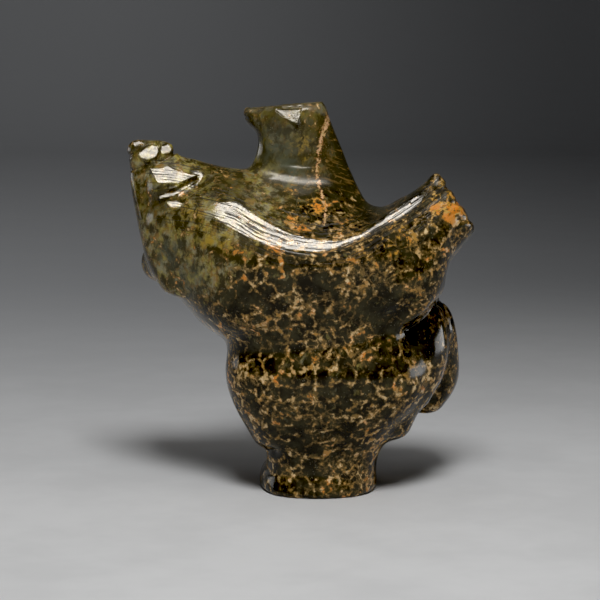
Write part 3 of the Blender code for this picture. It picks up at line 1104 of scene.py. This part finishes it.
@dataclass(frozen=True)
class PaperFinish:
    """The matt paper of the sweep, pale under the carving, with painted shade that darkens it behind and more
    so to the right. Places are in millimetres.
    """

    pale: Colour = (0.74, 0.745, 0.75)
    grey: Colour = (0.67, 0.675, 0.68)
    far_left_shade: Colour = (0.42, 0.43, 0.445)
    far_right_shade: Colour = (0.2, 0.205, 0.212)
    turn: Ease = Ease(-60, 440)
    sides: Ease = Ease(-180, 230)
    cloud: Grain = Grain(60, 4, 0.6)
    grey_ease: Ease = Ease(0.35, 0.65)
    rough_ease: Ease = Ease(0.3, 0.7, 0.7, 0.8)
    tooth: Grain = Grain(1.2, 3, 0.6)
    tooth_height: float = 0.02

    def build(self) -> bpy.types.Material:
        """Builds the material."""
        bench = NodeBench("sweep_paper")
        place = bench.object_place()
        cloud = bench.noise(place, self.cloud)
        near = bench.blend(bench.ramp(cloud, self.grey_ease), self.pale, self.grey)
        # Painted shade: the paper darkens behind the carving and towards the right, where less light falls
        depth = bench.ramp(bench.along(place, (0, 1, 0)), self.turn)
        across = bench.ramp(bench.along(place, (1, 0, 0)), self.sides)
        far = bench.blend(across, self.far_left_shade, self.far_right_shade)
        bench.shade("Base Color", bench.blend(depth, near, far))
        bench.shade("Roughness", bench.ramp(cloud, self.rough_ease))
        bench.shade("Normal", bench.bump(bench.noise(place, self.tooth), self.tooth_height))
        return bench.material


@dataclass(frozen=True)
class Lamp:
    """A soft light: its place, size and aim in metres, its power in watts and the ways in which it shows."""

    name: str
    place: Triple
    size: tuple[float, float]
    power: float
    aim: Triple = (0, 0, 0.07)
    colour: Colour = (1.0, 1.0, 1.0)
    visible: bool = False
    mirrored: bool = True
    brightens: bool = True


@dataclass
class Studio:
    """The pale sweep, the lamps and the camera.

    The softbox, the panel and the strips make the highlights on the polish, and the others light the colours.
    """

    grid: DrawingGrid
    paper: PaperFinish = PaperFinish()
    front: float = -1.6
    back: float = 1.0
    bend: float = 0.5
    wall: float = 1.3
    width: float = 4.0
    bend_steps: int = 28
    sensor: float = 36
    nearest: float = 0.01
    lamps: tuple[Lamp, ...] = (
        Lamp("softbox", (0, -0.11125, 0.41238), (0.28, 0.08), 2.15, colour=WARM, visible=True,
             brightens=False),
        Lamp("key", (0.03, -0.49, 0.8), (0.24, 0.24), 5.7, mirrored=False),
        Lamp("top", (0.0, -0.08, 0.62), (0.45, 0.45), 0.32, mirrored=False),
        Lamp("wall_washer", (-0.5, 0.35, 1.0), (0.8, 0.8), 1.15, aim=(-0.5, 1.35, 0.45), visible=True),
        Lamp("front_panel", (-0.1, -1.5, 0.75), (2.4, 1.2), 3.4, colour=WARM, brightens=False),
        Lamp("right_strip", (0.45, 0.06, 0.045), (0.4, 0.14), 0.75, brightens=False),
        Lamp("left_strip", (-0.5, 0.28, 0.1), (0.4, 0.14), 0.36, brightens=False),
    )
    fill: Colour = (0.022, 0.021, 0.02)
    black_level: float = 0.012

    def build(self) -> None:
        """Sets up the studio."""
        self.add_sweep()
        for lamp in self.lamps:
            self.add_lamp(lamp)
        self.add_fill()
        self.add_camera()
        self.set_contrast()

    def set_contrast(self) -> None:
        """Gives the picture the deep blacks of a studio print."""
        look = bpy.context.scene.view_settings
        look.view_transform = "Standard"
        look.use_curve_mapping = True
        look.curve_mapping.black_level = (self.black_level,) * 3
        look.curve_mapping.update()

    def add_sweep(self) -> None:
        """Lays paper over the table and up the wall behind in one curve."""
        bm = bmesh.new()
        half = self.width / 2
        corner = bm.verts.new((-half, self.front, 0))
        far = bmesh.ops.extrude_vert_indiv(bm, verts=[corner])["verts"]
        bmesh.ops.translate(bm, verts=far, vec=(0, self.back - self.front, 0))
        turned = bmesh.ops.spin(bm, geom=far, cent=(-half, self.back, self.bend), axis=(1, 0, 0),
                                angle=math.radians(90), steps=self.bend_steps)
        top = [item for item in turned["geom_last"] if isinstance(item, bmesh.types.BMVert)]
        up = bmesh.ops.extrude_vert_indiv(bm, verts=top)["verts"]
        bmesh.ops.translate(bm, verts=up, vec=(0, 0, self.wall))
        wide = bmesh.ops.extrude_edge_only(bm, edges=bm.edges[:])["geom"]
        moved = [item for item in wide if isinstance(item, bmesh.types.BMVert)]
        bmesh.ops.translate(bm, verts=moved, vec=(self.width, 0, 0))
        bmesh.ops.recalc_face_normals(bm, faces=bm.faces)
        mesh = bpy.data.meshes.new("sweep")
        bm.to_mesh(mesh)
        bm.free()
        mesh.shade_smooth()
        mesh.materials.append(self.paper.build())
        linked("sweep", mesh)

    def add_lamp(self, lamp: Lamp) -> None:
        """Hangs one lamp."""
        light = bpy.data.lights.new(lamp.name, "AREA")
        light.shape = "RECTANGLE"
        light.size, light.size_y = lamp.size
        light.energy = lamp.power
        light.color = lamp.colour
        holder = linked(lamp.name, light)
        holder.visible_camera = lamp.visible
        holder.visible_glossy = lamp.mirrored
        holder.visible_diffuse = lamp.brightens
        self.aim(holder, Vector(lamp.place), Vector(lamp.aim) - Vector(lamp.place))

    def add_fill(self) -> None:
        """Lets a little grey light in from the room."""
        world = bpy.data.worlds.new("room")
        world.use_nodes = True
        world.node_tree.nodes["Background"].inputs["Color"].default_value = (*self.fill, 1)
        bpy.context.scene.world = world

    def add_camera(self) -> None:
        """Puts the camera where the drawing grid has its viewer."""
        camera = bpy.data.cameras.new("camera")
        camera.sensor_width = self.sensor
        camera.lens = self.sensor * self.grid.distance / self.grid.width
        camera.clip_start = self.nearest
        holder = linked("camera", camera)
        self.aim(holder, Vector(self.grid.eye) * self.grid.unit, Vector(self.grid.forward))
        bpy.context.scene.camera = holder

    @staticmethod
    def aim(thing: bpy.types.Object, place: Vector, way: Vector) -> None:
        """Places a light or a camera and points it."""
        thing.location = place
        thing.rotation_mode = "QUATERNION"
        thing.rotation_quaternion = way.to_track_quat("-Z", "Y")


def main() -> None:
    """Loads the frame, carves and dresses the bear, and sets up the studio."""
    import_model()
    grid = DrawingGrid()
    bear = BearCarving(grid, StoneFinish()).build()
    log.info("%s: %d points", bear.name, len(bear.data.vertices))
    studio = Studio(grid)
    studio.build()
    log.info("studio: sweep, %d lamps and camera", len(studio.lamps))


if __name__ == "__main__":
    logging.basicConfig(level=logging.INFO, format="%(message)s")
    main()
